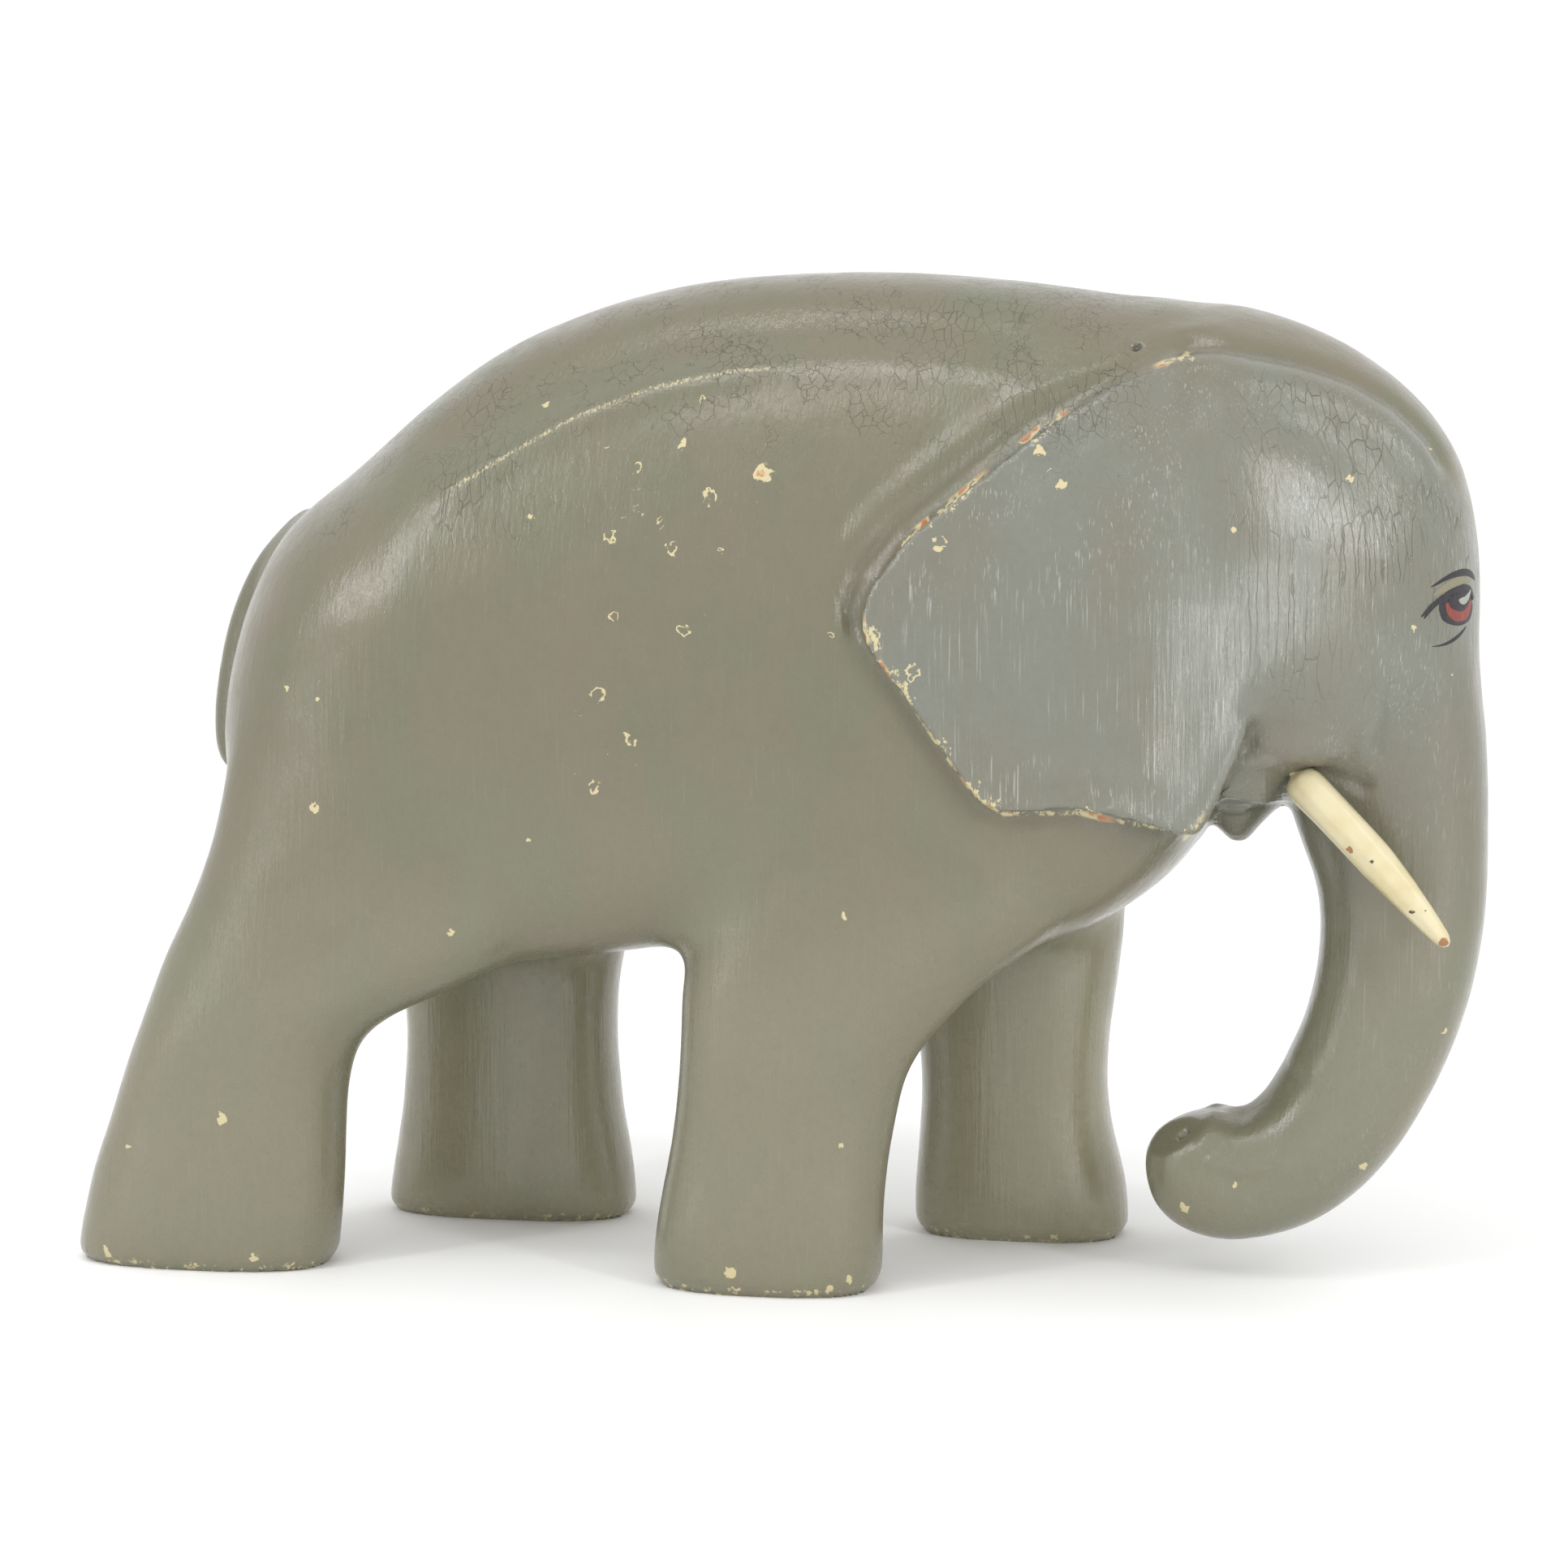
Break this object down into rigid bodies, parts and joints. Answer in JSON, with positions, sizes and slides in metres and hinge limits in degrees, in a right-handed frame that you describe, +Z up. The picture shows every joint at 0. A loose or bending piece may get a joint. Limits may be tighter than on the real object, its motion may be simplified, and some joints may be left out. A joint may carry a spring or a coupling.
{
  "type": "carved wooden elephant figurine",
  "caption": "Free-standing carved and painted wooden elephant in a walking pose, with a lowered curled trunk, raised ears and separate tusks.",
  "frame": {"origin": "on the floor, under the middle of the bounding box", "axes": "+X towards the elephant's head and trunk, +Y towards its left side, +Z up"},
  "size_m": [0.395, 0.126, 0.2801],
  "materials": {
    "enamel": "semi-gloss grey-green enamel on carved wood, crackled and chipped to a cream primer",
    "ivory_paint": "glossy cream paint on turned wood, slightly worn"
  },
  "bodies": {
    "root": {"core_board": "enamel", "right_board": "enamel", "left_board": "enamel", "right_tusk": "ivory_paint", "left_tusk": "ivory_paint"}
  },
  "joints": []
}
